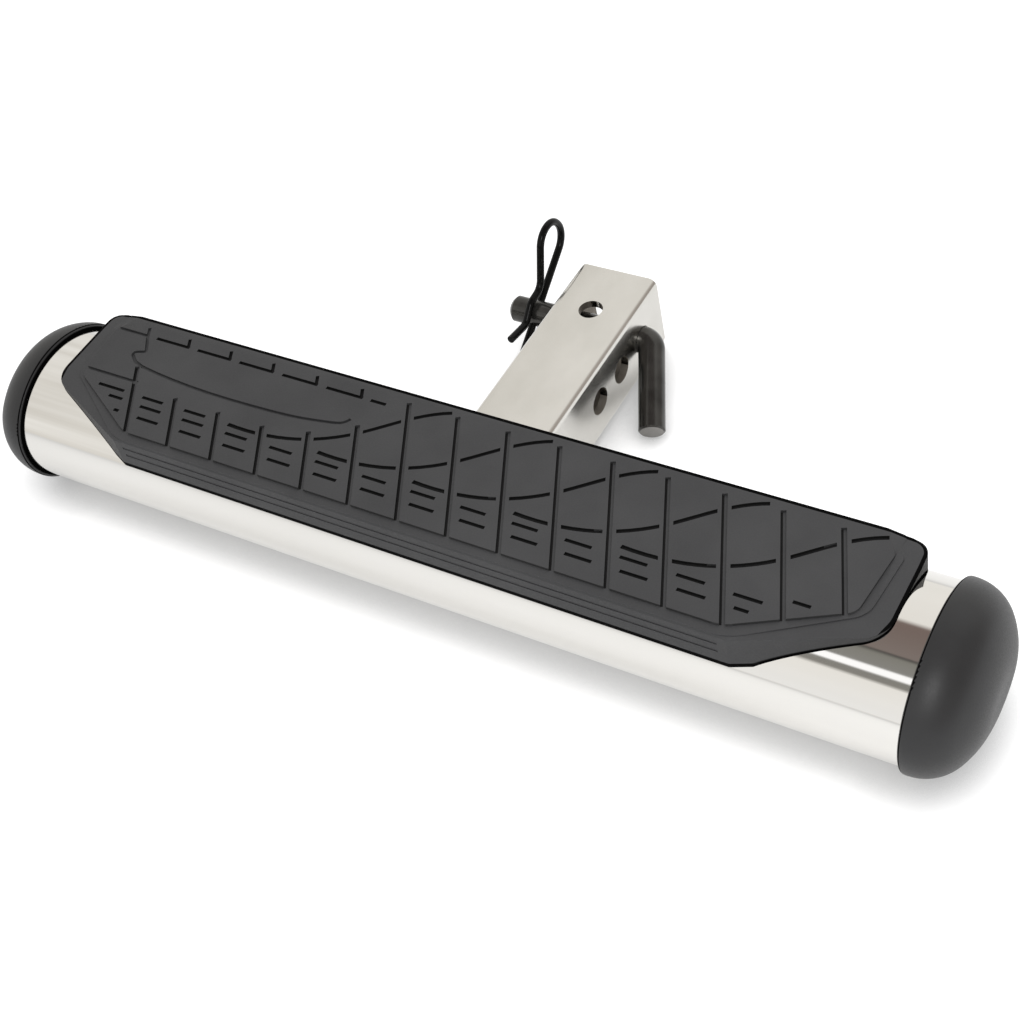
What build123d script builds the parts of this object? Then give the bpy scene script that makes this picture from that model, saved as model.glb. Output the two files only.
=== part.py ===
import os
from math import atan2, cos, degrees, radians, sin, sqrt, tan

from build123d import *

# Bent hitch pin
pin_dia = 15.9
pin_tail = 37.0
pin_stand_off = 0.5
pin_bend = 8.6
pin_tip_chamfer = 2.0
arm_length = 59.0
arm_splay = 23.0
arm_drop = 20.0
arm_end_chamfer = 1.0

# Hairpin clip, its sprung leg humped over the pin
wire_dia = 4.6
wire_play = 0.3
clip_hole_dia = wire_dia + 2 * wire_play
clip_set_back = 15.5
clip_rise = 31.5
clip_leg = 30.0
bow_reach = 53.8
bow_height = 25.5
bow_return = 16.0
clip_seat = (pin_dia + wire_dia) / 2
clip_pinch = 4.2
clip_hump_x = 3.0
clip_hump = 1.35
clip_flick = 13.0
clip_flick_rise = 10.5
bow_radius = 12.0
waist_radius = 8.0
hump_radius = 6.0

# Square shank that slides into the vehicle's receiver; the pin axis is the origin
shank_size = 50.8
shank_wall = 4.8
shank_corner = 5.0
shank_bore_corner = 1.5
shank_tail = 25.0
pin_play = 0.4
hole_dia = pin_dia + 2 * pin_play
hole_pitch = 27.0
hole_count = 3
drop_hole_dia = 14.5
drop_hole_ahead = 10.0

# Oval step tube of four arcs, its underside level with the underside of the shank
tube_width = 97.0
tube_height = 82.6
tube_flatten = 4.8
tube_wall = 2.0
tube_length = 541.0
tube_reach = 174.0
tube_rise = (tube_height - shank_size) / 2
tube_half_y = tube_width / 2
tube_half_z = tube_height / 2
side_round = tube_half_z - tube_flatten
side_shift = tube_half_y - side_round
crown_round = (side_shift**2 + tube_half_z**2 - side_round**2) / (2 * tube_flatten)
crown_shift = crown_round - tube_half_z
side_turn = degrees(atan2(crown_shift, side_shift))

# Saddle cut of the shank and the fillet weld around it
cope_stop = 12.0
weld_leg = 5.0
weld_toe = 0.4
weld_return = 4.0

# Domed end caps with a spigot inside the tube
cap_proud = 3.0
cap_depth = 32.0
cap_band = 3.0
cap_lip_round = 2.0
cap_wall = 2.5
cap_rim_turn = 55.0
cap_flat = 2.0
spigot_length = 24.0
spigot_wall = 2.5
spigot_gap = 0.3

# Step pad: a terraced tread on a skirt that is scribed to the tube
pad_end_gap = 16.5
pad_length = tube_length - 2 * pad_end_gap
half_pad = pad_length / 2
pad_rise = 3.7
pad_skirt = 4.4
pad_front_foot = 21.0
pad_back_lift = 1.7
pad_back_corner = 8.0
pad_back_draft = 0.5
pad_cut_run = 67.0
pad_cut_x = half_pad - pad_cut_run
pad_cut_y = 17.5
pad_end_round = 17.0
pad_front_round = 4.0

# Terraces of the tread from the field of blocks down to the outer edge
field_height = 1.5
shoulder_step = 0.8
edge_fall = 0.9
ledge_end = 8.0
ledge_lean = 4.0
ledge_cut_y = 10.1
ledge_front = 0.6
ledge_end_round = 14.0
ledge_front_round = 30.0
shoulder_width = 4.3
shoulder_front = 5.0
field_cut_y = 11.3
field_end_round = 8.0
field_front_round = 20.0
terrace_back_round = 2.0
ear_length = 14.6
ear_inset = 1.0
ear_run = 9.0

# Cored pockets under the tread, parted by ribs
rib_pitch = 61.0
rib_thick = 2.5
pocket_roof = 4.0
pocket_inner = 16.0
pocket_end_wall = 8.0

# Moulded pegs that snap through the crown of the tube
peg_count = 5
peg_inset = 54.0
peg_dia = 7.6
peg_play = 0.3
peg_hole_dia = peg_dia + 2 * peg_play
barb_catch = 0.6
barb_dia = peg_hole_dia + 2 * barb_catch
barb_tip_dia = 5.0
barb_gap = 0.5
barb_length = 5.5
barb_taper = degrees(atan2((barb_dia - barb_tip_dia) / 2, barb_length))

# Tread grooves, measured from the pad's left end and from the tube's centre line
tread_pitch = 30.5
slash_count = 15
slash_pitch = 30.8
slash_start = 49.3
slash_lean_left = 0.58
slash_lean_right = 0.42
slash_width = 2.8
slash_back = 33.5
first_backs = [4.7, -8.8, -9.3, -9.4, -4.0, 9.4]
wave_start = 127.2
wave_count = 5
wave_points = [(0, -15.2), (21.8, -15.2), (47, -10.3), (73.7, 3.6), (95.5, 22.2), (117.3, 35.2)]
wave_width = 2.4
wave_land = 2.0
dash_width = 2.0
dash_length = 15.0
dash_start = 65.4
dash_lean = 0.5
dash_columns = 12
dash_rows = [-21.3, -29.2]
short_row = -14.9
short_row_columns = 2
left_dashes = [(34, -6, 42), (42, -14.5, 19), (49.6, -20.2, 10), (56.7, -28.6, 3.5), (200, 28, 10)]
right_dashes = [(66.4, -22.1, 15), (66.5, -29.4, 7.5), (41.8, -16.3, 9)]
band_row = 28.0
band_dash = 24.5
band_start = 25.0
band_count = 6
band_tick = 6.0
panel_points = [(49, 5.6), (73, 2.8), (104, 1.2), (134, 1.4), (164, 3.1), (182, 5.9), (190, 8.8), (192, 12)]
notch_points = [(43.8, 16.6), (35.4, 13.6), (42.2, 7.8)]
notch_rounds = [1.2, 1.8, 6]
skirt_lines = [37.0, 31.3]
skirt_line_width = 1.6
skirt_line_depth = 0.4
skirt_line_end = 5.0


def oval(grow):
    side = side_round + grow
    crown = crown_round + grow
    crown_turn = 180 - 2 * side_turn
    with BuildLine() as edge:
        CenterArc((side_shift, 0), side, -side_turn, 2 * side_turn)
        CenterArc((0, -crown_shift), crown, side_turn, crown_turn)
        CenterArc((-side_shift, 0), side, 180 - side_turn, 2 * side_turn)
        CenterArc((0, crown_shift), crown, 180 + side_turn, crown_turn)
    make_face(edge.edges())


def tube_edge(height):
    if abs(height) < side_round * sin(radians(side_turn)):
        return side_shift + sqrt(side_round**2 - height**2)
    return sqrt(crown_round**2 - (abs(height) + crown_shift) ** 2)


def terrace(end_back, end_ear, end_front, end_y, cut_x, front_y, end_round, front_round, back_round):
    rounds = [back_round, 0, end_round, front_round]
    with BuildLine() as edge:
        FilletPolyline(
            (end_back, pad_back),
            (end_ear, ear_y),
            (end_front, -end_y),
            (cut_x, -front_y),
            (-cut_x, -front_y),
            (-end_front, -end_y),
            (-end_ear, ear_y),
            (-end_back, pad_back),
            radius=rounds + rounds[::-1],
            close=True,
        )
    make_face(edge.edges())


def dome(inset, base):
    reach = side_round + cap_proud - cap_flat
    run = cap_depth - cap_band
    rise = sin(radians(cap_rim_turn))
    fall = cos(radians(cap_rim_turn))
    rim_round = (run * fall - reach * (1 - rise)) / (rise * fall - (1 - rise) * (1 - fall))
    top_round = (run - rim_round * rise) / (1 - rise)
    crown_turn = 180 - 2 * side_turn
    sectors = [
        (side_shift, 0, side_round, 0, side_turn),
        (0, -crown_shift, crown_round, side_turn, crown_turn),
        (-side_shift, 0, side_round, 180 - side_turn, side_turn),
    ]
    with BuildPart() as solid:
        for centre_y, centre_z, arc_round, start, turn in sectors:
            radius = arc_round + cap_proud
            across = (0, -sin(radians(start)), cos(radians(start)))
            with BuildSketch(Plane(origin=(0, centre_y, centre_z), x_dir=(1, 0, 0), z_dir=across)):
                with BuildLine():
                    Line((base, 0), (base, radius - inset))
                    Line((base, radius - inset), (cap_band, radius - inset))
                    CenterArc((cap_band, radius - rim_round), rim_round - inset, 90, -cap_rim_turn)
                    top_centre = (cap_depth - top_round, radius - reach)
                    CenterArc(top_centre, top_round - inset, 90 - cap_rim_turn, cap_rim_turn - 90)
                    Polyline((cap_depth - inset, radius - reach), (cap_depth - inset, 0), (base, 0))
                make_face()
            revolve(axis=Axis((0, centre_y, centre_z), (1, 0, 0)), revolution_arc=turn)
        split(bisect_by=Plane.XY)
        mirror(about=Plane.XY)
    return solid.part


half_shank = shank_size / 2
half_tube = tube_length / 2
tread_z = tube_half_z + pad_rise
shoulder_z = tread_z - field_height
ledge_z = shoulder_z - shoulder_step
edge_z = ledge_z - edge_fall
roof_z = tread_z - pocket_roof
pad_front = tube_edge(pad_front_foot) + pad_skirt
pad_back = tube_edge(pad_front_foot + pad_back_lift)
ear_y = pad_back - ear_length
tube_plan = Plane(origin=(0, -tube_reach, tube_rise))
tube_section = Plane(origin=(0, -tube_reach, tube_rise), x_dir=(0, 1, 0), z_dir=(1, 0, 0))
tread_plane = Plane(origin=(-half_pad, -tube_reach, tube_rise + tread_z))
peg_pitch = (pad_length - 2 * peg_inset) / (peg_count - 1)
peg_spots = [(peg_pitch * i + peg_inset - half_pad, 0) for i in range(peg_count)]

# Solid oval filling the tube, used to scribe what sits against it
with BuildPart() as tube_core:
    with BuildSketch(tube_section):
        oval(0)
    extrude(amount=half_tube, both=True)

with BuildPart() as main_tube:
    add(tube_core.part)
    with BuildSketch(tube_section):
        oval(-tube_wall)
    extrude(amount=half_tube, both=True, mode=Mode.SUBTRACT)
    with BuildSketch(tube_plan):
        with Locations(*peg_spots):
            Circle(peg_hole_dia / 2)
    extrude(amount=tube_height, mode=Mode.SUBTRACT)

# Full outside of the shank before it is bored, for the weld to lie against
with BuildPart() as shank_core:
    with BuildSketch(Plane.XZ.offset(-shank_tail)):
        RectangleRounded(shank_size, shank_size, shank_corner)
    extrude(amount=shank_tail + tube_reach - cope_stop)
    add(tube_core.part, mode=Mode.SUBTRACT)

with BuildPart() as receiver_shank:
    add(shank_core.part)
    shank_bore = shank_size - 2 * shank_wall
    with BuildSketch(Plane.XZ.offset(-shank_tail)):
        RectangleRounded(shank_bore, shank_bore, shank_bore_corner)
    extrude(amount=shank_tail + tube_reach, mode=Mode.SUBTRACT)
    with BuildSketch(Plane.YZ):
        with Locations(*[(-hole_pitch * i, 0) for i in range(hole_count)]):
            Circle(hole_dia / 2)
    extrude(amount=shank_size, both=True, mode=Mode.SUBTRACT)
    with BuildSketch(Plane.XY):
        with Locations((0, -drop_hole_ahead)):
            Circle(drop_hole_dia / 2)
    extrude(amount=shank_size, both=True, mode=Mode.SUBTRACT)

# Fillet weld: a bead on each side of the saddle and one across the top
shank_top = half_shank - tube_rise
top_contact = tube_edge(shank_top)
with BuildPart() as weld_bead:
    for side in (-1, 1):
        with BuildSketch(tube_section.offset(side * (half_shank - shank_corner))):
            oval(weld_leg)
        with BuildSketch(tube_section.offset(side * half_shank)):
            oval(weld_leg)
        loft(ruled=True)
        with BuildSketch(tube_section.offset(side * half_shank)):
            oval(weld_leg)
        with BuildSketch(tube_section.offset(side * (half_shank + weld_leg))):
            oval(weld_toe)
        loft(ruled=True)
    with BuildSketch(tube_section):
        with BuildLine():
            Polyline(
                (cope_stop + weld_return, -tube_half_z + weld_toe),
                (tube_width, -tube_half_z + weld_toe),
                (tube_width, shank_top),
                (0, shank_top),
                close=True,
            )
        make_face()
    extrude(amount=half_shank + weld_leg, both=True, mode=Mode.INTERSECT)
    with BuildSketch(tube_section):
        with BuildLine():
            Polyline(
                (0, shank_top - shank_corner),
                (top_contact + weld_leg, shank_top - shank_corner),
                (top_contact + weld_leg, shank_top),
                (top_contact - weld_toe, shank_top + weld_leg),
                (0, shank_top + weld_leg),
                close=True,
            )
        make_face()
    extrude(amount=half_shank, both=True)
    add(tube_core.part, mode=Mode.SUBTRACT)
    add(shank_core.part, mode=Mode.SUBTRACT)

# End cap: a domed shell on a base ring, with an open spigot that enters the tube
cap_shell = dome(0, 0)
cap_hollow = dome(cap_wall, cap_wall)
spigot_grow = -tube_wall - spigot_gap
with BuildPart() as cap_blank:
    add(cap_shell)
    fillet(cap_blank.edges().group_by(Axis.X)[0], cap_lip_round)
    add(cap_hollow, mode=Mode.SUBTRACT)
    with BuildSketch(Plane.YZ):
        oval(spigot_grow)
    extrude(amount=-spigot_length)
    with BuildSketch(Plane.YZ.offset(-spigot_length)):
        oval(spigot_grow - spigot_wall)
    extrude(amount=spigot_length + cap_wall, mode=Mode.SUBTRACT)

with BuildPart() as right_end_cap:
    with Locations((half_tube, -tube_reach, tube_rise)):
        add(cap_blank.part)

with BuildPart() as left_end_cap:
    with Locations(Location((-half_tube, -tube_reach, tube_rise), (0, 0, 180))):
        add(cap_blank.part)

# Step pad body: upright skirt, sloping edge, shoulder and field, scribed to the tube
ledge_back = half_pad - ledge_end
ledge_cut_end = ledge_back - ledge_lean
ledge_front_y = pad_front - ledge_front
field_back = ledge_back - shoulder_width
field_cut_end = ledge_cut_end - shoulder_front
field_cut_x = pad_cut_x - shoulder_width
field_front_y = ledge_front_y - shoulder_front
pad_rounds = (pad_end_round, pad_front_round, pad_back_corner)
ledge_rounds = (ledge_end_round, ledge_front_round, terrace_back_round)
field_rounds = (field_end_round, field_front_round, terrace_back_round)
pad_edge = (half_pad, half_pad, pad_cut_y, pad_cut_x, pad_front, *pad_rounds)
ledge_edge = (ledge_back - ear_inset, ledge_cut_end, ledge_cut_y, pad_cut_x, ledge_front_y, *ledge_rounds)
field_edge = (field_back - ear_inset, field_cut_end, field_cut_y, field_cut_x, field_front_y, *field_rounds)
with BuildPart() as pad_body:
    with BuildSketch(tube_plan.offset(pad_front_foot)):
        terrace(half_pad - pad_back_draft, *pad_edge)
    extrude(amount=edge_z - pad_front_foot)
    with BuildSketch(tube_plan.offset(edge_z)):
        terrace(half_pad - pad_back_draft, *pad_edge)
    with BuildSketch(tube_plan.offset(ledge_z)):
        terrace(ledge_back, *ledge_edge)
    loft(ruled=True)
    with BuildSketch(tube_plan.offset(ledge_z)):
        terrace(ledge_back, *ledge_edge)
    with BuildSketch(tube_plan.offset(shoulder_z)):
        terrace(ledge_back - ear_run, *ledge_edge)
    loft(ruled=True)
    with BuildSketch(tube_plan.offset(shoulder_z)):
        terrace(field_back, *field_edge)
    with BuildSketch(tube_plan.offset(tread_z)):
        terrace(field_back - ear_run, *field_edge)
    loft(ruled=True)
    add(tube_core.part, mode=Mode.SUBTRACT)

# Cored pockets between the ribs, in front of the crown and behind it
with BuildPart() as pad_pockets:
    with BuildSketch(tube_section):
        with BuildLine():
            Polyline(
                (-pocket_inner, pad_front_foot),
                (-pocket_inner, roof_z),
                (pad_skirt - pad_front, roof_z),
                (pad_skirt - pad_front, pad_front_foot),
                close=True,
            )
        make_face()
    extrude(amount=pad_cut_x - pocket_end_wall, both=True)
    with BuildSketch(tube_section):
        with BuildLine():
            Polyline(
                (pocket_inner, pad_front_foot),
                (pocket_inner, roof_z),
                (pad_back - pad_skirt, roof_z),
                (pad_back - pad_skirt, pad_front_foot),
                close=True,
            )
        make_face()
    extrude(amount=half_pad - pocket_end_wall, both=True)
    rib_count = int((pad_length - 2 * pocket_end_wall) / rib_pitch) + 1
    rib_spots = [(rib_pitch * (i - (rib_count - 1) / 2), 0) for i in range(rib_count)]
    with BuildSketch(tube_plan):
        with Locations(*rib_spots):
            Rectangle(rib_thick, tube_width)
    extrude(amount=tread_z, mode=Mode.SUBTRACT)

# Moulded pegs under the crown, each with a barb below the tube wall
with BuildPart() as pad_pegs:
    with BuildSketch(tube_plan.offset(tread_z - pad_rise / 2)):
        with Locations(*peg_spots):
            Circle(peg_dia / 2)
    extrude(amount=-(pad_rise / 2 + tube_wall + barb_gap))
    with BuildSketch(tube_plan.offset(tube_half_z - tube_wall - barb_gap)):
        with Locations(*peg_spots):
            Circle(barb_dia / 2)
    extrude(amount=-barb_length, taper=barb_taper)

# Tread pattern seen from above: slashes, broken waves and dashes
slash_feet = [slash_start + slash_pitch * i for i in range(slash_count)]
slash_backs = first_backs + (slash_count - len(first_backs)) * [slash_back]
lean_step = (slash_lean_right - slash_lean_left) / (slash_count - 1)
slash_leans = [slash_lean_left + lean_step * i for i in range(slash_count)]
dash_feet = [dash_start + tread_pitch * i for i in range(dash_columns)]
band_end = band_start + (band_dash - dash_width) / 2
with BuildSketch(tread_plane) as tread:
    for i in range(wave_count):
        wave_shift = wave_start + 2 * tread_pitch * i
        with BuildLine() as wave:
            Spline(*[(wave_shift + x, y) for x, y in wave_points])
        trace(wave.line, line_width=wave_width)
    for foot, lean in zip(slash_feet, slash_leans):
        with BuildLine() as land:
            Line((foot - lean * pad_back, pad_back), (foot + lean * pad_front, -pad_front))
        trace(land.line, line_width=slash_width + 2 * wave_land, mode=Mode.SUBTRACT)
    for foot, lean, back in zip(slash_feet, slash_leans, slash_backs):
        with BuildLine() as slash:
            Line((foot - lean * back, back), (foot + lean * pad_front, -pad_front))
        trace(slash.line, line_width=slash_width)
    for row in dash_rows:
        with Locations(*[(foot - dash_lean * row, row) for foot in dash_feet]):
            Rectangle(dash_length, dash_width)
    with Locations(*[(foot - dash_lean * short_row, short_row) for foot in dash_feet[:short_row_columns]]):
        Rectangle(dash_length, dash_width)
    for x, y, length in left_dashes + [(pad_length - x, y, length) for x, y, length in right_dashes]:
        with Locations((x, y)):
            Rectangle(length, dash_width)
    with Locations(*[(band_start + tread_pitch * i, band_row) for i in range(band_count)]):
        Rectangle(band_dash, dash_width)
    with BuildLine() as panel:
        Spline(*panel_points)
    trace(panel.line, line_width=dash_width)
    with BuildLine() as notch:
        FilletPolyline((band_end, band_row), *notch_points, panel_points[0], radius=notch_rounds)
    trace(notch.line, line_width=dash_width)
    for i in range(band_count):
        tick_x = band_end + tread_pitch * i
        with BuildLine() as tick:
            Line((tick_x, band_row), (tick_x - dash_lean * band_tick, band_row + band_tick))
        trace(tick.line, line_width=dash_width)

with BuildPart() as step_pad:
    add(pad_body.part)
    add(pad_pockets.part, mode=Mode.SUBTRACT)
    add(pad_pegs.part)
    add(tread.sketch)
    extrude(amount=-field_height, mode=Mode.SUBTRACT)
    with BuildSketch(tube_section):
        for line_z in skirt_lines:
            with Locations((-pad_front, line_z)):
                Rectangle(2 * skirt_line_depth, skirt_line_width)
    extrude(amount=pad_cut_x - skirt_line_end, both=True, mode=Mode.SUBTRACT)

# Hitch pin: straight shaft, one bend, arm splayed out and hanging forward
pin_tip = -half_shank - pin_tail
pin_plane = Plane(
    origin=(0, 0, 0),
    x_dir=(1, 0, 0),
    z_dir=(0, sin(radians(arm_drop)), -cos(radians(arm_drop))),
)
bend_x = half_shank + pin_stand_off + pin_bend * tan(radians(45 - arm_splay / 2))
clip_x = pin_tip + clip_set_back
clip_up = (0, cos(radians(clip_rise)), sin(radians(clip_rise)))
with BuildPart() as hitch_pin:
    with BuildLine(pin_plane) as pin_path:
        FilletPolyline(
            (pin_tip, 0),
            (bend_x, 0),
            (bend_x + arm_length * sin(radians(arm_splay)), arm_length * cos(radians(arm_splay))),
            radius=pin_bend,
        )
    with BuildSketch(Plane(origin=pin_path.line @ 0, z_dir=pin_path.line % 0)):
        Circle(pin_dia / 2)
    sweep()
    flats = hitch_pin.faces().filter_by(GeomType.PLANE)
    tip_face = flats.sort_by(Axis.X)[0]
    arm_face = flats.sort_by(Axis.X)[-1]
    chamfer(tip_face.edges(), pin_tip_chamfer)
    chamfer(arm_face.edges(), arm_end_chamfer)
    with BuildSketch(Plane(origin=(clip_x, 0, 0), x_dir=(1, 0, 0), z_dir=clip_up)):
        Circle(clip_hole_dia / 2)
    extrude(amount=pin_dia, both=True, mode=Mode.SUBTRACT)

# Hairpin clip: straight leg through the pin, round bow, sprung leg over the pin
with BuildPart() as hairpin_clip:
    with BuildLine(Plane(origin=(clip_x, 0, 0), x_dir=clip_up, z_dir=(1, 0, 0))) as clip_path:
        FilletPolyline(
            (-clip_leg, 0),
            (bow_reach, 0),
            (bow_reach, bow_height),
            (bow_reach - bow_return, bow_height),
            (clip_seat + clip_pinch, clip_seat - clip_pinch),
            (clip_hump_x, clip_seat + clip_hump),
            (-clip_seat, clip_seat - clip_hump),
            (-clip_seat - clip_flick, clip_seat + clip_flick_rise),
            radius=[bow_radius, bow_radius, bow_radius, waist_radius, hump_radius, hump_radius],
        )
    with BuildSketch(Plane(origin=clip_path.line @ 0, z_dir=clip_path.line % 0)):
        Circle(wire_dia / 2)
    sweep()

main_tube.part.label = "main_tube"
left_end_cap.part.label = "left_end_cap"
right_end_cap.part.label = "right_end_cap"
step_pad.part.label = "step_pad"
receiver_shank.part.label = "receiver_shank"
weld_bead.part.label = "weld_bead"
hitch_pin.part.label = "hitch_pin"
hairpin_clip.part.label = "hairpin_clip"

os.makedirs("parts", exist_ok=True)
export_step(main_tube.part, "parts/main_tube.step")
export_step(left_end_cap.part, "parts/left_end_cap.step")
export_step(right_end_cap.part, "parts/right_end_cap.step")
export_step(step_pad.part, "parts/step_pad.step")
export_step(receiver_shank.part, "parts/receiver_shank.step")
export_step(weld_bead.part, "parts/weld_bead.step")
export_step(hitch_pin.part, "parts/hitch_pin.step")
export_step(hairpin_clip.part, "parts/hairpin_clip.step")
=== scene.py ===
from math import atan2, cos, hypot, pi, radians, sin

import bmesh
import bpy
from mathutils import Matrix, Vector
from mathutils.geometry import convex_hull_2d


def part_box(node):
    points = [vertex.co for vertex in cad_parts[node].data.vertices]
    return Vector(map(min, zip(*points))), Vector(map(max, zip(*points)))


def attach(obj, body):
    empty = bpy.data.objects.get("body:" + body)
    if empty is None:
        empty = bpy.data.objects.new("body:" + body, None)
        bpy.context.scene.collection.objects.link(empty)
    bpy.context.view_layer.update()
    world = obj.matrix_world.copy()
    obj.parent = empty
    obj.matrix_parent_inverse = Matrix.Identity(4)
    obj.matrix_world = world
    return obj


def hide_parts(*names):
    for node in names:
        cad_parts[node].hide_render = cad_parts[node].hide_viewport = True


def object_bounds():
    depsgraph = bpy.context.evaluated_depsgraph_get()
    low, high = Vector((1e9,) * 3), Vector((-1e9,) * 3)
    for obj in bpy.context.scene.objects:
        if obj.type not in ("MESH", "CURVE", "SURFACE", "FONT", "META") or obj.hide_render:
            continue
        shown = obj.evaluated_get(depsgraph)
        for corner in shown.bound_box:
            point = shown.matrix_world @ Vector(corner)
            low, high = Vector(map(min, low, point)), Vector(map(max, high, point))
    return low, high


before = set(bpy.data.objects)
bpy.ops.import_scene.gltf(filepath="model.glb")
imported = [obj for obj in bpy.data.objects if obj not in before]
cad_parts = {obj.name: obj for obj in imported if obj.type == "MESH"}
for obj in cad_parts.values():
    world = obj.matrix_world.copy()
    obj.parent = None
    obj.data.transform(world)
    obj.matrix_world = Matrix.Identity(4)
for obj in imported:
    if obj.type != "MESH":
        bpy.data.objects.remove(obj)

cad_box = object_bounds()

# Camera of the photograph, in the part's frame
CAMERA_PLACE = (0.4426, -0.63663, 0.70452)
CAMERA_RIGHT = (0.85567, 0.48562, -0.17893)
CAMERA_UP = (-0.26528, 0.70841, 0.65405)
CAMERA_BACK = (0.44437, -0.51218, 0.73499)
CAMERA_LENS = 61.46
SENSOR_WIDTH = 36.0

# Oval step tube: wall, how far the radius of its sides is under half its height, and steps in each arc
TUBE_WALL = 0.002
TUBE_FLATTEN = 0.0048
TUBE_STEPS = 64

# Square shank: rounded outside corners, and how deep below its outside a face counts as an inner one
SHANK_CORNER = 0.005
SHANK_INSIDE = 0.00005

# Hitch pin: its two cut ends are the largest faces with more corners than this
PIN_END_CORNERS = 12

# Tread pad: groove depth, floor area of a short groove, place of the bare panel, walls too small for painted
# shade
GROOVE_DEPTH = 0.0015
SHORT_GROOVE = (0.000005, 0.00015)
PANEL_END = 0.195
PANEL_FRONT = 0.001
TINY_WALL = 0.000002

# Painted shade lines of the pad: height of its terraced rim, and width of the line at the rim, foot and
# slashes
RIM_DROP = 0.0036
RIM_WIDTH = 0.0019
FOOT_WIDTH = 0.0028
SLASH_SHADE = 0.0011

# Painted shade lines at the tube: width at the cap seams, and where a seat's painted shadow fades, in half
# tube sections
SEAM_WIDTH = 0.0015
SEAT_LINE = (1.030, 1.046)

# Which way a face looks, as the share of its normal along an axis
FACING = 0.9
SIDEWAYS = 0.7
STEEP = 0.3
UPRIGHT = 0.2
FORWARD = -0.3

# How close corners, places, lines, directions and cuts are when they count as one
WELDED = 1e-6
SAME_PLACE = 1e-5
ON_LINE = 2e-5
SAME_WAY = 1e-4
ON_CUT = 1e-7
OUTLINE_DIGITS = 6

# Angles in degrees: faces that merge, before and after the cuts, and edges that stay sharp
FLAT_ANGLE = 0.3
FLAT_CUT_ANGLE = 0.1
SHARP_ANGLE = 30.0
TUBE_SHARP_ANGLE = 40.0

# Softened edges of the moulded and sawn pieces
PAD_EDGE = 0.00045
SHANK_EDGE = 0.0005
CAP_EDGE = 0.0006
PIN_EDGE = 0.0003
WELD_EDGE = 0.0008

# Plastics: colours from dark to light, how far the roughness varies, and the height of the grain
# Painted shade: black of the lines at the pad's rim and foot, at the cap seams and at the seats on the tube
PAINTED_EDGE_SHADE = ((0.002, 0.002, 0.002), (0.004, 0.004, 0.004))
# Painted shade: black in the short grooves and beside the slashes' walls
PAINTED_GROOVE_SHADE = ((0.009, 0.009, 0.009), (0.013, 0.013, 0.013))
SATIN_BLACK = ((0.020, 0.020, 0.021), (0.027, 0.027, 0.028))
# Painted shade: darker grey of the walls on the raised field's outline
PAINTED_STEP_SHADE = ((0.030, 0.030, 0.031), (0.037, 0.037, 0.038))
CHARCOAL = ((0.045, 0.045, 0.047), (0.056, 0.056, 0.058))
ROUGH_SPREAD = 0.06
GRAIN_HEIGHT = 0.00015

# Black steel of the pin, and its cut ends
OXIDE_BLACK = ((0.035, 0.034, 0.032), (0.080, 0.078, 0.073))
CUT_GREY = ((0.16, 0.155, 0.145), (0.28, 0.27, 0.255))

# Range in which most values of a noise lie
NOISE_RANGE = (0.3, 0.7)

# Floor: glow for the camera and in mirrors, and the painted contact shadow close to the object
FLOOR_SIZE = 12.0
FLOOR_TONE = 0.82
FLOOR_ROUGH = 0.9
FLOOR_GLOW = 0.50
FLOOR_MIRRORED = 0.24
FLOOR_NEAR = 0.03
FLOOR_OPEN = (0.4, 0.82)
FLOOR_CONTACT = 0.55

# Even light all round, and what polished metal mirrors: cream at the left, bands, a dim tone at the right
EVEN_LIGHT = 0.62
CREAM = ((0.74, 0.715, 0.67), (0.95, 0.935, 0.905))
CREAM_CLOUDS = 5.0
BANDS_FROM = (-0.55, -0.33)
SIDE_FROM = (0.45, 0.70)
SIDE_SHARE = 0.85
SIDE_TONE = (0.32, 0.28, 0.25)

# Mirrored bands by their angle in degrees, from the back at 0 over the top to the front at 180
SKY_BANDS = [
    (0.0, (0.95, 0.935, 0.90)),
    (64.0, (0.93, 0.91, 0.875)),
    (69.0, (0.21, 0.16, 0.145)),
    (102.5, (0.24, 0.20, 0.185)),
    (104.5, (0.09, 0.085, 0.08)),
    (107.0, (0.25, 0.245, 0.22)),
    (120.3, (0.28, 0.275, 0.26)),
    (121.5, (1.2, 1.2, 1.22)),
    (126.5, (1.2, 1.2, 1.22)),
    (128.5, (0.26, 0.255, 0.235)),
    (134.0, (0.27, 0.26, 0.24)),
    (137.0, (0.94, 0.92, 0.885)),
    (180.0, (1.0, 0.985, 0.955)),
]


def grey(tone):
    return (tone, tone, tone)


def shader(name):
    material = bpy.data.materials.new(name)
    material.use_nodes = True
    tree = material.node_tree
    return material, tree, tree.nodes["Principled BSDF"]


def add_node(tree, kind, inputs=None, **settings):
    node = tree.nodes.new(kind)
    for key, value in settings.items():
        setattr(node, key, value)
    for key, value in (inputs or {}).items():
        node.inputs[key].default_value = value
    return node


def object_space(tree, scale):
    coordinates = add_node(tree, "ShaderNodeTexCoord")
    mapping = add_node(tree, "ShaderNodeMapping", {"Scale": scale})
    tree.links.new(coordinates.outputs["Object"], mapping.inputs["Vector"])
    return mapping.outputs["Vector"]


def noise(tree, space, scale=1.0, detail=4.0, roughness=0.55):
    settings = {"Scale": scale, "Detail": detail, "Roughness": roughness}
    node = add_node(tree, "ShaderNodeTexNoise", settings)
    tree.links.new(space, node.inputs["Vector"])
    return node.outputs["Fac"]


def map_range(tree, value, source, low=0.0, high=1.0):
    settings = {"From Min": source[0], "From Max": source[1], "To Min": low, "To Max": high}
    node = add_node(tree, "ShaderNodeMapRange", settings)
    tree.links.new(value, node.inputs["Value"])
    return node.outputs["Result"]


def spread(tree, value, low, high):
    return map_range(tree, value, NOISE_RANGE, low, high)


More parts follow.
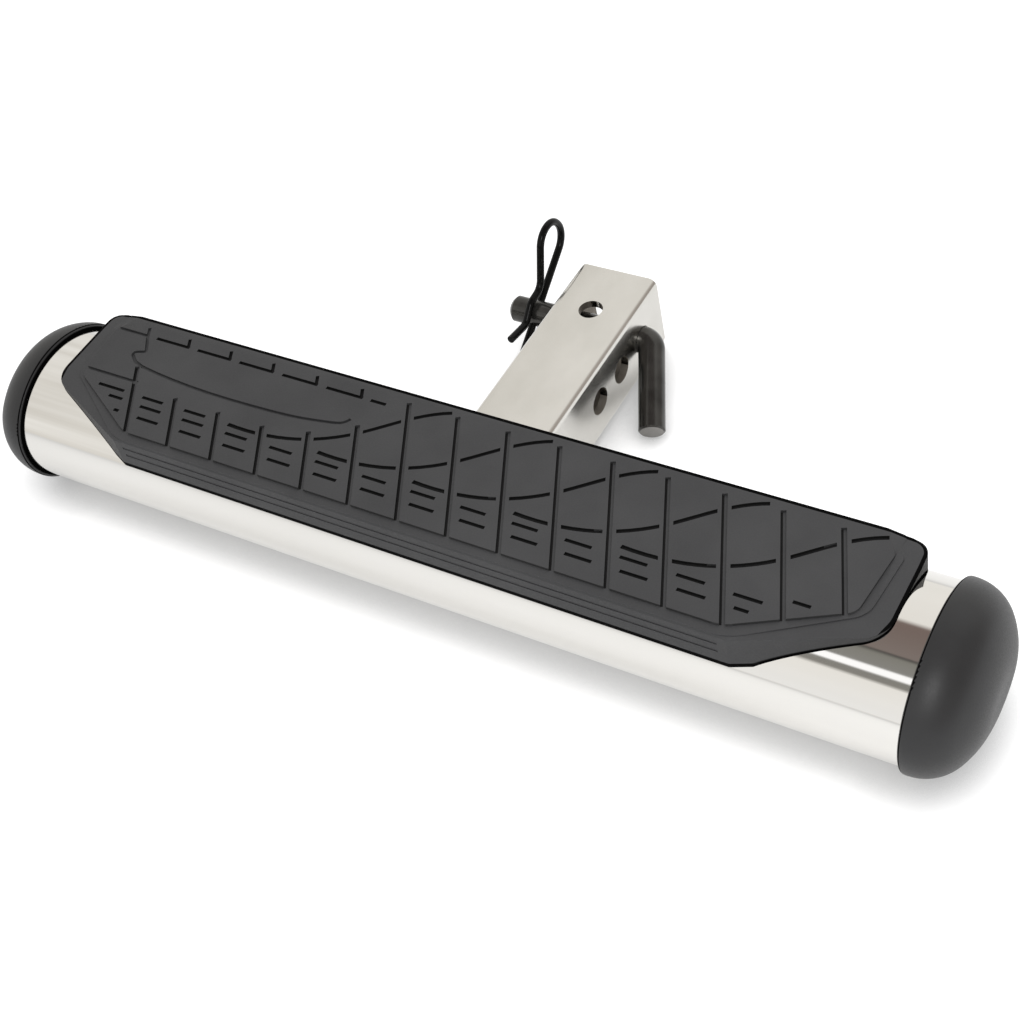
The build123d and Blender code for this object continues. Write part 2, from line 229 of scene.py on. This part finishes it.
def tint(tree, value, dark, light):
    node = add_node(tree, "ShaderNodeValToRGB")
    for stop, position, colour in zip(node.color_ramp.elements, NOISE_RANGE, (dark, light)):
        stop.position = position
        stop.color = (*colour, 1)
    tree.links.new(value, node.inputs["Fac"])
    return node.outputs["Color"]


def bump(tree, height, strength, distance, below=None):
    node = add_node(tree, "ShaderNodeBump", {"Strength": strength, "Distance": distance})
    tree.links.new(height, node.inputs["Height"])
    if below:
        tree.links.new(below, node.inputs["Normal"])
    return node.outputs["Normal"]


def mix_colours(tree, share, first, second):
    node = add_node(tree, "ShaderNodeMix", data_type="RGBA")
    tree.links.new(share, node.inputs["Factor"])
    for socket, colour in ((node.inputs[6], first), (node.inputs[7], second)):
        if isinstance(colour, tuple):
            socket.default_value = (*colour, 1)
        else:
            tree.links.new(colour, socket)
    return node.outputs[2]


def connect(tree, surface, colour, rough, relief):
    tree.links.new(colour, surface.inputs["Base Color"])
    tree.links.new(rough, surface.inputs["Roughness"])
    tree.links.new(relief, surface.inputs["Normal"])


def polished_steel():
    material, tree, surface = shader("polished_steel")
    streaks = noise(tree, object_space(tree, (6, 260, 260)))
    waves = noise(tree, object_space(tree, (2.5, 45, 45)), detail=2.0)
    colour = tint(tree, waves, (0.765, 0.75, 0.715), (0.835, 0.82, 0.79))
    rough = spread(tree, streaks, 0.04, 0.09)
    long_waves = bump(tree, waves, strength=0.08, distance=0.001)
    relief = bump(tree, streaks, strength=0.02, distance=0.0004, below=long_waves)
    connect(tree, surface, colour, rough, relief)
    surface.inputs["Metallic"].default_value = 1.0
    return material


def satin_steel():
    material, tree, surface = shader("satin_steel")
    clouds = noise(tree, object_space(tree, (34, 22, 34)), detail=3.0, roughness=0.5)
    lines = noise(tree, object_space(tree, (500, 9, 500)))
    colour = tint(tree, clouds, (0.665, 0.65, 0.61), (0.765, 0.75, 0.715))
    rough = spread(tree, clouds, 0.16, 0.24)
    cloudy = bump(tree, clouds, strength=0.05, distance=0.001)
    relief = bump(tree, lines, strength=0.02, distance=0.0002, below=cloudy)
    connect(tree, surface, colour, rough, relief)
    surface.inputs["Metallic"].default_value = 1.0
    return material


def raw_steel():
    material, tree, surface = shader("raw_steel")
    clouds = noise(tree, object_space(tree, (50, 50, 50)))
    fine = noise(tree, object_space(tree, (700, 700, 700)))
    colour = tint(tree, clouds, (0.24, 0.215, 0.185), (0.36, 0.33, 0.29))
    rough = spread(tree, fine, 0.5, 0.7)
    relief = bump(tree, fine, strength=0.2, distance=0.0003)
    connect(tree, surface, colour, rough, relief)
    surface.inputs["Metallic"].default_value = 0.8
    return material


def weld_steel():
    material, tree, surface = shader("weld_steel")
    heat = noise(tree, object_space(tree, (120, 120, 120)))
    wave = {"Scale": 95.0, "Distortion": 2.5, "Detail": 2.0}
    ripples = add_node(tree, "ShaderNodeTexWave", wave, bands_direction="DIAGONAL")
    tree.links.new(object_space(tree, (1, 1, 1)), ripples.inputs["Vector"])
    colour = tint(tree, heat, (0.48, 0.44, 0.38), (0.66, 0.63, 0.58))
    rough = spread(tree, heat, 0.28, 0.45)
    relief = bump(tree, ripples.outputs["Fac"], strength=0.6, distance=0.0006)
    connect(tree, surface, colour, rough, relief)
    surface.inputs["Metallic"].default_value = 1.0
    return material


def tube_section():
    low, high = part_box("main_tube")
    return (low + high) / 2, (high - low) / 2


# 0 close to the tube, 1 beyond the painted shadow line at a seat
def clear_of_tube(tree):
    centre, half = tube_section()
    coordinates = add_node(tree, "ShaderNodeTexCoord")
    place = (0, -centre.y / half.y, -centre.z / half.z)
    scale = (0, 1 / half.y, 1 / half.z)
    section = add_node(tree, "ShaderNodeMapping", {"Location": place, "Scale": scale})
    tree.links.new(coordinates.outputs["Object"], section.inputs["Vector"])
    reach = add_node(tree, "ShaderNodeVectorMath", operation="LENGTH")
    tree.links.new(section.outputs["Vector"], reach.inputs[0])
    return map_range(tree, reach.outputs["Value"], SEAT_LINE)


# A seated plastic has a painted shadow, black and without shine, where it lies close to the tube
def moulded_plastic(name, colours, rough, grain, depth, shine=0.4, seated=False):
    material, tree, surface = shader(name)
    clouds = noise(tree, object_space(tree, (26, 26, 26)))
    fine = noise(tree, object_space(tree, (1, 1, 1)), scale=grain, detail=2.0)
    colour = tint(tree, clouds, *colours)
    if seated:
        clear = clear_of_tube(tree)
        colour = mix_colours(tree, clear, PAINTED_EDGE_SHADE[0], colour)
        shone = add_node(tree, "ShaderNodeMath", {1: shine}, operation="MULTIPLY")
        tree.links.new(clear, shone.inputs[0])
        tree.links.new(shone.outputs["Value"], surface.inputs["Specular IOR Level"])
    else:
        surface.inputs["Specular IOR Level"].default_value = shine
    roughness = spread(tree, fine, rough - ROUGH_SPREAD, rough + ROUGH_SPREAD)
    relief = bump(tree, fine, strength=depth, distance=GRAIN_HEIGHT)
    connect(tree, surface, colour, roughness, relief)
    return material


def black_oxide(name, colours):
    material, tree, surface = shader(name)
    clouds = noise(tree, object_space(tree, (60, 60, 60)))
    fine = noise(tree, object_space(tree, (1, 1, 1)), scale=900.0)
    colour = tint(tree, clouds, *colours)
    rough = spread(tree, clouds, 0.15, 0.25)
    relief = bump(tree, fine, strength=0.15, distance=0.0001)
    connect(tree, surface, colour, rough, relief)
    surface.inputs["Metallic"].default_value = 0.7
    return material


def coated_wire():
    material, tree, surface = shader("coated_wire")
    clouds = noise(tree, object_space(tree, (140, 140, 140)))
    colour = tint(tree, clouds, grey(0.003), grey(0.006))
    rough = spread(tree, clouds, 0.10, 0.22)
    relief = bump(tree, clouds, strength=0.08, distance=0.0003)
    connect(tree, surface, colour, rough, relief)
    surface.inputs["Specular IOR Level"].default_value = 0.13
    return material


def merge_flat(shape, angle, delimit=()):
    bmesh.ops.dissolve_limit(
        shape,
        angle_limit=radians(angle),
        verts=shape.verts,
        edges=shape.edges,
        use_dissolve_boundaries=False,
        delimit=set(delimit),
    )


# The node's own form, with its triangles merged to whole faces
def welded_shape(node):
    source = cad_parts[node].data
    mesh = bpy.data.meshes.new(node + "_raw")
    corners = [v.co[:] for v in source.vertices]
    mesh.from_pydata(corners, [], [p.vertices[:] for p in source.polygons])
    shape = bmesh.new()
    shape.from_mesh(mesh)
    bpy.data.meshes.remove(mesh)
    bmesh.ops.remove_doubles(shape, verts=shape.verts, dist=WELDED)
    merge_flat(shape, FLAT_ANGLE)
    shape.normal_update()
    return shape


def piece_from(name, shape, materials, node, body, edge, sharp=SHARP_ANGLE):
    for face in shape.faces:
        face.smooth = True
    mesh = bpy.data.meshes.new(name)
    shape.to_mesh(mesh)
    shape.free()
    mesh.set_sharp_from_angle(angle=radians(sharp))
    for material in materials:
        mesh.materials.append(material)
    piece = bpy.data.objects.new(name, mesh)
    bpy.context.scene.collection.objects.link(piece)
    if edge:
        bevel = piece.modifiers.new("soft_edges", "BEVEL")
        bevel.width = edge
        bevel.segments = 2
        bevel.limit_method = "ANGLE"
        bevel.angle_limit = radians(sharp)
        bevel.harden_normals = True
    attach(piece, body)
    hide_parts(node)


# Four tangent arcs, two at the sides and two flatter ones above and below
def oval_ring(half_y, half_z, side_round, grow):
    side_shift = half_y - side_round
    crown_round = (side_shift**2 + half_z**2 - side_round**2) / (2 * (half_z - side_round))
    crown_shift = crown_round - half_z
    turn = atan2(crown_shift, side_shift)
    arcs = [
        (side_shift, 0, side_round, -turn, 2 * turn),
        (0, -crown_shift, crown_round, turn, pi - 2 * turn),
        (-side_shift, 0, side_round, pi - turn, 2 * turn),
        (0, crown_shift, crown_round, pi + turn, pi - 2 * turn),
    ]
    ring = []
    for centre_y, centre_z, radius, start, sweep in arcs:
        out = radius + grow
        for i in range(TUBE_STEPS):
            angle = start + sweep * i / TUBE_STEPS
            ring.append((centre_y + out * cos(angle), centre_z + out * sin(angle)))
    return ring


def step_tube(steel):
    low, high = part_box("main_tube")
    centre, half = tube_section()
    side_round = half.z - TUBE_FLATTEN
    shape = bmesh.new()
    rings = []
    for x, grow in ((low.x, -TUBE_WALL), (low.x, 0), (high.x, 0), (high.x, -TUBE_WALL)):
        ring = oval_ring(half.y, half.z, side_round, grow)
        rings.append([shape.verts.new((x, centre.y + y, centre.z + z)) for y, z in ring])
    for here, there in zip(rings, rings[1:] + rings[:1]):
        for i in range(len(here)):
            shape.faces.new((here[i - 1], here[i], there[i], there[i - 1]))
    bmesh.ops.recalc_face_normals(shape, faces=shape.faces)
    piece_from("step_tube", shape, [steel], "main_tube", "step", 0, TUBE_SHARP_ANGLE)


def plan_outline(points):
    rounded = {(round(p.x, OUTLINE_DIGITS), round(p.y, OUTLINE_DIGITS)) for p in points}
    flat = [Vector(p) for p in sorted(rounded)]
    return [flat[i] for i in convex_hull_2d(flat)]


def on_outline(point, outline):
    flat = Vector((point.x, point.y))
    for here, there in zip(outline, outline[1:] + outline[:1]):
        run = there - here
        along = max(0.0, min(1.0, (flat - here).dot(run) / run.length_squared))
        if (flat - here - run * along).length < ON_LINE:
            return True
    return False


def lowest(face):
    return min(v.co.z for v in face.verts)


def lies_at(face, level):
    return face.normal.z > FACING and abs(face.verts[0].co.z - level) < SAME_PLACE


def lies_in(face, planes):
    corner = face.verts[0].co
    for point, normal in planes:
        parallel = abs(face.normal.dot(normal) - 1) < SAME_WAY
        if parallel and abs((corner - point).dot(normal)) < SAME_PLACE:
            return True
    return False


def cut_faces(shape, faces, place, normal):
    parts = {e for f in faces for e in f.edges} | {v for f in faces for v in f.verts} | set(faces)
    bmesh.ops.bisect_plane(shape, geom=list(parts), dist=ON_CUT, plane_co=place, plane_no=normal)


# Gives the strip of a groove's floor that lies beside a wall another material, a painted shade line
def shade_beside(shape, start, end, level, look):
    if start.y > end.y:
        start, end = end, start
    along = (end - start).normalized()
    across = along.cross(Vector((0, 0, 1)))
    for place, normal in ((start + across * SLASH_SHADE, across), (start, along), (end, along)):
        near = []
        for face in [f for f in shape.faces if lies_at(f, level)]:
            reach = [(v.co - start).dot(across) for v in face.verts]
            if min(reach) < SLASH_SHADE and max(reach) > 0:
                near.append(face)
        cut_faces(shape, near, place, normal)
    for face in shape.faces:
        centre = face.calc_center_median() - start
        within = 0 < centre.dot(along) < (end - start).length
        if within and 0 < centre.dot(across) < SLASH_SHADE and lies_at(face, level):
            face.material_index = look


# Gives the part of the faces that lies beyond a plane another material
def shade_beyond(shape, faces, place, normal, look):
    planes = [(f.verts[0].co.copy(), f.normal.copy()) for f in faces]
    cut_faces(shape, faces, place, normal)
    for face in shape.faces:
        if lies_in(face, planes) and (face.calc_center_median() - place).dot(normal) > 0:
            face.material_index = look


# Gives the grooves and the upright faces their materials with painted shade, and returns the lower edges of
# the slashes' walls
def shade_grooves(shape, looks, shade, soft_shade, seat):
    low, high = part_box("step_pad")
    floor_z = high.z - GROOVE_DEPTH
    panel_front = tube_section()[0].y + PANEL_FRONT
    floors = set()
    field_points = []
    for face in shape.faces:
        height = face.calc_center_median().z
        if face.normal.z > FACING and abs(height - floor_z) < SAME_PLACE:
            floors.add(face)
        if height > high.z - SAME_PLACE:
            field_points += [v.co for v in face.verts]
    field = plan_outline(field_points)
    short = {f for f in floors if SHORT_GROOVE[0] < f.calc_area() < SHORT_GROOVE[1]}
    slashes = []
    for face in shape.faces:
        centre = face.calc_center_median()
        beside = {f for e in face.edges for f in e.link_faces}
        wall = abs(face.normal.z) < UPRIGHT and lowest(face) > floor_z - SAME_PLACE
        panel = centre.x < low.x + PANEL_END and centre.y > panel_front
        # Steep faces that are not groove walls take the seated plastic, with its painted shadow at the tube
        if abs(face.normal.z) < STEEP and not wall:
            face.material_index = looks.index(seat)
        # Short grooves and the walls beside them get black painted shade
        if face in short or wall and beside & short:
            face.material_index = looks.index(shade)
        elif wall and not panel and face.calc_area() > TINY_WALL:
            # Walls on the raised field's outline get a darker grey painted shade
            if on_outline(centre, field):
                face.material_index = looks.index(soft_shade)
            # Slash walls facing +X get black painted shade
            elif face.normal.x > SIDEWAYS:
                face.material_index = looks.index(shade)
                feet = [e for e in face.edges if floors & set(e.link_faces)]
                slashes += [[v.co.copy() for v in e.verts] for e in feet]
    return slashes


# Darkens a line along the rim with painted shade, apart from its front, where the skirt begins
def shade_rim(shape, outline, top, look):
    for here, there in zip(outline, outline[1:] + outline[:1]):
        out = Vector((there.y - here.y, here.x - there.x, 0)).normalized()
        inner = Vector((here.x, here.y, top)) - out * RIM_WIDTH
        rim = []
        for face in shape.faces:
            upper = face.normal.z > FACING and lowest(face) > top - RIM_DROP
            if upper and max((v.co - inner).dot(out) for v in face.verts) > 0:
                rim.append(face)
        if out.y > FORWARD and rim:
            shade_beyond(shape, rim, inner, out, look)


# Darkens a strip at the foot of the front-facing faces with painted shadow, where the pad meets the tube
def shade_foot(shape, low, look):
    foot = [f for f in shape.faces if f.normal.y < FORWARD and abs(lowest(f) - low.z) < SAME_PLACE]
    line = Vector((0, low.y, low.z + FOOT_WIDTH))
    shade_beyond(shape, foot, line, Vector((0, 0, -1)), look)


def tread_pad(plastic, shade, soft_shade, edge_shade, seat):
    shape = welded_shape("step_pad")
    low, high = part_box("step_pad")
    outline = plan_outline([v.co for v in shape.verts])
    looks = [plastic, shade, soft_shade, edge_shade, seat]
    for start, end in shade_grooves(shape, looks, shade, soft_shade, seat):
        shade_beside(shape, start, end, high.z - GROOVE_DEPTH, looks.index(shade))
    shade_rim(shape, outline, high.z, looks.index(edge_shade))
    shade_foot(shape, low, looks.index(edge_shade))
    merge_flat(shape, FLAT_CUT_ANGLE, {"MATERIAL"})
    piece_from("tread_pad", shape, looks, "step_pad", "step", PAD_EDGE)


def end_cap(node, plastic, shade, seat):
    shape = welded_shape(node)
    looks = [plastic, shade, seat]
    seam = min(abs(corner.x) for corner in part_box("main_tube"))
    # Faces at the seam get painted shade: a painted shadow line on the ring facing the tube, black on the
    # rest
    for face in shape.faces:
        if seam - SAME_PLACE < abs(face.calc_center_median().x) < seam + SEAM_WIDTH:
            look = seat if abs(face.normal.x) > SIDEWAYS else shade
            face.material_index = looks.index(look)
    piece_from(node + "_look", shape, looks, node, "step", CAP_EDGE)


# Satin outside and at the ends, raw inside and in the holes
def square_shank(satin, raw):
    shape = welded_shape("receiver_shank")
    looks = [satin, raw]
    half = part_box("receiver_shank")[1].x - SHANK_CORNER
    for face in shape.faces:
        depth = 0.0
        for vert in face.verts:
            out = hypot(max(abs(vert.co.x) - half, 0), max(abs(vert.co.z) - half, 0))
            depth = max(depth, SHANK_CORNER - out)
        if depth > SHANK_INSIDE and abs(face.normal.y) < FACING:
            face.material_index = looks.index(raw)
    piece_from("square_shank", shape, looks, "receiver_shank", "step", SHANK_EDGE)


def weld(steel):
    shape = welded_shape("weld_bead")
    piece_from("weld", shape, [steel], "weld_bead", "step", WELD_EDGE)


def bent_pin(oxide, cut):
    shape = welded_shape("hitch_pin")
    looks = [oxide, cut]
    flats = sorted(shape.faces, key=lambda f: f.calc_area() * (len(f.verts) > PIN_END_CORNERS))
    for face in flats[-2:]:
        face.material_index = looks.index(cut)
    piece_from("bent_pin", shape, looks, "hitch_pin", "pin", PIN_EDGE)


def wire_clip(wire):
    shape = welded_shape("hairpin_clip")
    piece_from("wire_clip", shape, [wire], "hairpin_clip", "clip", 0)


# For the camera the floor glows to white and darkens close to the object with a painted contact shadow, and
# in mirrors it glows less
def floor_white():
    material, tree, surface = shader("floor_white")
    surface.inputs["Roughness"].default_value = FLOOR_ROUGH
    surface.inputs["Specular IOR Level"].default_value = 0.0
    surface.inputs["Emission Color"].default_value = (1, 1, 1, 1)
    rays = add_node(tree, "ShaderNodeLightPath")
    mirrored = add_node(tree, "ShaderNodeMath", {1: FLOOR_MIRRORED}, operation="MULTIPLY")
    tree.links.new(rays.outputs["Is Glossy Ray"], mirrored.inputs[0])
    near = add_node(tree, "ShaderNodeAmbientOcclusion", {"Distance": FLOOR_NEAR}, samples=8)
    open_share = map_range(tree, near.outputs["AO"], FLOOR_OPEN, low=FLOOR_CONTACT)
    away = add_node(tree, "ShaderNodeMath", {0: 1.0}, operation="SUBTRACT")
    tree.links.new(rays.outputs["Is Camera Ray"], away.inputs[1])
    shade = add_node(tree, "ShaderNodeMath", operation="MAXIMUM")
    tree.links.new(open_share, shade.inputs[0])
    tree.links.new(away.outputs["Value"], shade.inputs[1])
    colour = mix_colours(tree, shade.outputs["Value"], grey(0.0), grey(FLOOR_TONE))
    tree.links.new(colour, surface.inputs["Base Color"])
    glow = add_node(tree, "ShaderNodeMath", {1: FLOOR_GLOW}, operation="MULTIPLY_ADD")
    tree.links.new(rays.outputs["Is Camera Ray"], glow.inputs[0])
    tree.links.new(mirrored.outputs["Value"], glow.inputs[2])
    dimmed = add_node(tree, "ShaderNodeMath", operation="MULTIPLY")
    tree.links.new(glow.outputs["Value"], dimmed.inputs[0])
    tree.links.new(shade.outputs["Value"], dimmed.inputs[1])
    tree.links.new(dimmed.outputs["Value"], surface.inputs["Emission Strength"])
    return material


def studio_floor(height):
    mesh = bpy.data.meshes.new("floor")
    reach = FLOOR_SIZE / 2
    corners = ((-reach, -reach), (reach, -reach), (reach, reach), (-reach, reach))
    mesh.from_pydata([(x, y, height) for x, y in corners], [], [(0, 1, 2, 3)])
    mesh.materials.append(floor_white())
    floor = bpy.data.objects.new("floor", mesh)
    bpy.context.scene.collection.objects.link(floor)


def area_light(name, place, target, size, energy, mirrored):
    lamp = bpy.data.lights.new(name, "AREA")
    lamp.shape = "SQUARE"
    lamp.size = size
    lamp.energy = energy
    light = bpy.data.objects.new(name, lamp)
    light.location = place
    light.rotation_mode = "QUATERNION"
    light.rotation_quaternion = (Vector(target) - Vector(place)).to_track_quat("-Z", "Y")
    light.visible_glossy = mirrored
    bpy.context.scene.collection.objects.link(light)


def sky_bands(tree, axes):
    turn = add_node(tree, "ShaderNodeMath", operation="ARCTAN2")
    tree.links.new(axes.outputs["Z"], turn.inputs[0])
    tree.links.new(axes.outputs["Y"], turn.inputs[1])
    half_turn = map_range(tree, turn.outputs["Value"], (0.0, pi))
    bands = add_node(tree, "ShaderNodeValToRGB")
    stops = bands.color_ramp.elements
    for i, (angle, colour) in enumerate(SKY_BANDS):
        stop = stops[i] if i < len(stops) - 1 else stops.new(angle / 180)
        stop.position = angle / 180
        stop.color = (*colour, 1)
    tree.links.new(half_turn, bands.inputs["Fac"])
    return bands.outputs["Color"]


# White for the camera, bands between cream and a dim side in mirrors, and even light for the rest
def studio_world():
    world = bpy.data.worlds.new("studio")
    bpy.context.scene.world = world
    world.use_nodes = True
    world.cycles.sampling_method = "NONE"
    tree = world.node_tree
    coordinates = add_node(tree, "ShaderNodeTexCoord")
    axes = add_node(tree, "ShaderNodeSeparateXYZ")
    tree.links.new(coordinates.outputs["Generated"], axes.inputs["Vector"])
    clouds = noise(tree, coordinates.outputs["Generated"], scale=CREAM_CLOUDS, detail=3.0)
    cream = tint(tree, clouds, *CREAM)
    ahead = map_range(tree, axes.outputs["X"], BANDS_FROM)
    towards = mix_colours(tree, ahead, cream, sky_bands(tree, axes))
    aside = map_range(tree, axes.outputs["X"], SIDE_FROM, high=SIDE_SHARE)
    mirrored = mix_colours(tree, aside, towards, SIDE_TONE)
    rays = add_node(tree, "ShaderNodeLightPath")
    lit = mix_colours(tree, rays.outputs["Is Glossy Ray"], grey(EVEN_LIGHT), mirrored)
    seen = mix_colours(tree, rays.outputs["Is Camera Ray"], lit, grey(1.0))
    tree.links.new(seen, tree.nodes["Background"].inputs["Color"])


def photo_camera():
    lens = bpy.data.cameras.new("photo_camera")
    lens.lens = CAMERA_LENS
    lens.sensor_width = SENSOR_WIDTH
    camera = bpy.data.objects.new("photo_camera", lens)
    bpy.context.scene.collection.objects.link(camera)
    axes = Matrix((CAMERA_RIGHT, CAMERA_UP, CAMERA_BACK)).transposed()
    camera.matrix_world = Matrix.Translation(CAMERA_PLACE) @ axes.to_4x4()
    bpy.context.scene.camera = camera


# Moulded plastics of the caps and the pad
cap_plastic = moulded_plastic("cap_plastic", SATIN_BLACK, rough=0.42, grain=1400.0, depth=0.2)
cap_seat_shade = moulded_plastic("cap_seat_shade", SATIN_BLACK, rough=0.42, grain=1400.0, depth=0.2, seated=True)
tread_plastic = moulded_plastic("tread_plastic", CHARCOAL, rough=0.62, grain=1100.0, depth=0.3)
tread_seat_shade = moulded_plastic("tread_seat_shade", CHARCOAL, rough=0.62, grain=1100.0, depth=0.3, seated=True)
# Painted shade: black in the grooves, black lines at the rim, foot and cap seams, darker grey on the walls
# of the raised field
groove_shade = moulded_plastic("groove_shade", PAINTED_GROOVE_SHADE, rough=0.75, grain=1100.0, depth=0.2, shine=0.12)
edge_shade = moulded_plastic("edge_shade", PAINTED_EDGE_SHADE, rough=0.75, grain=1100.0, depth=0.2, shine=0.02)
soft_shade = moulded_plastic("soft_shade", PAINTED_STEP_SHADE, rough=0.68, grain=1100.0, depth=0.2)

# Pieces of the step
step_tube(polished_steel())
for side in ("left_end_cap", "right_end_cap"):
    end_cap(side, cap_plastic, edge_shade, cap_seat_shade)
tread_pad(tread_plastic, groove_shade, soft_shade, edge_shade, tread_seat_shade)
square_shank(satin_steel(), raw_steel())
weld(weld_steel())
bent_pin(black_oxide("black_oxide", OXIDE_BLACK), black_oxide("pin_cut_end", CUT_GREY))
wire_clip(coated_wire())

# Studio
studio_floor(cad_box[0].z)
studio_world()
area_light("key", (0.45, -0.05, 1.3), (0.2, -0.12, 0), size=1.2, energy=7.0, mirrored=False)
area_light("softbox", (0.74, -0.96, 1.13), (0.15, -0.17, 0.02), size=0.45, energy=4.5, mirrored=True)
photo_camera()
bpy.context.scene.view_settings.view_transform = "Standard"
